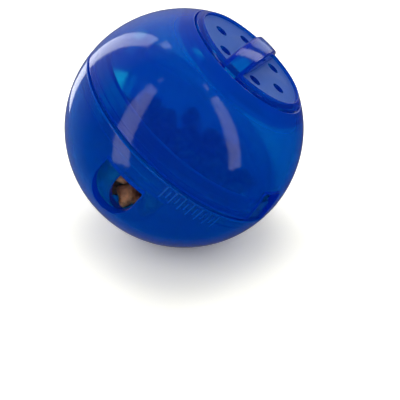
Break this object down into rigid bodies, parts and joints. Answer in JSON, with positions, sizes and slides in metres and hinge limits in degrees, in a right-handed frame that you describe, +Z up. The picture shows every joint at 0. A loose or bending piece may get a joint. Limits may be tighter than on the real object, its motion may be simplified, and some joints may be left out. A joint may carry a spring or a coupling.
{
  "type": "treat ball",
  "caption": "Hollow ball of two turning half shells over an inner shutter bowl, which meters kibble through U-shaped openings; a vented bayonet lid with a grip strap closes the filling port.",
  "frame": {"origin": "the point of the ball that touches the floor, below the ball's centre", "axes": "+Z up; the ball lies as pictured, with its turning axis leaning 39.4 degrees from +Z towards +X, lid uppermost, and its first opening towards -X and -Y"},
  "size_m": [0.076, 0.076, 0.076],
  "materials": {
    "shell_plastic": "clear blue polished plastic",
    "shutter_plastic": "clear blue polished plastic",
    "lid_plastic": "clear blue plastic, polished rim and strap, frosted panels"
  },
  "bodies": {
    "lower": {"lower_shell": "shell_plastic"},
    "upper": {"upper_shell": "shell_plastic", "shutter_bowl": "shutter_plastic"},
    "lid": {"lid": "lid_plastic"}
  },
  "joints": [
    {"name": "portion_adjust", "type": "hinge", "parent": "lower", "child": "upper", "pos_m": [0, 0, 0.038], "axis": [0.6347, 0, 0.7727], "range_deg": [-10.6, 19.4]},
    {"name": "lid_turn", "type": "hinge", "parent": "upper", "child": "lid", "pos_m": [0, 0, 0.038], "axis": [0.6347, 0, 0.7727], "range_deg": [0, 40]}
  ]
}
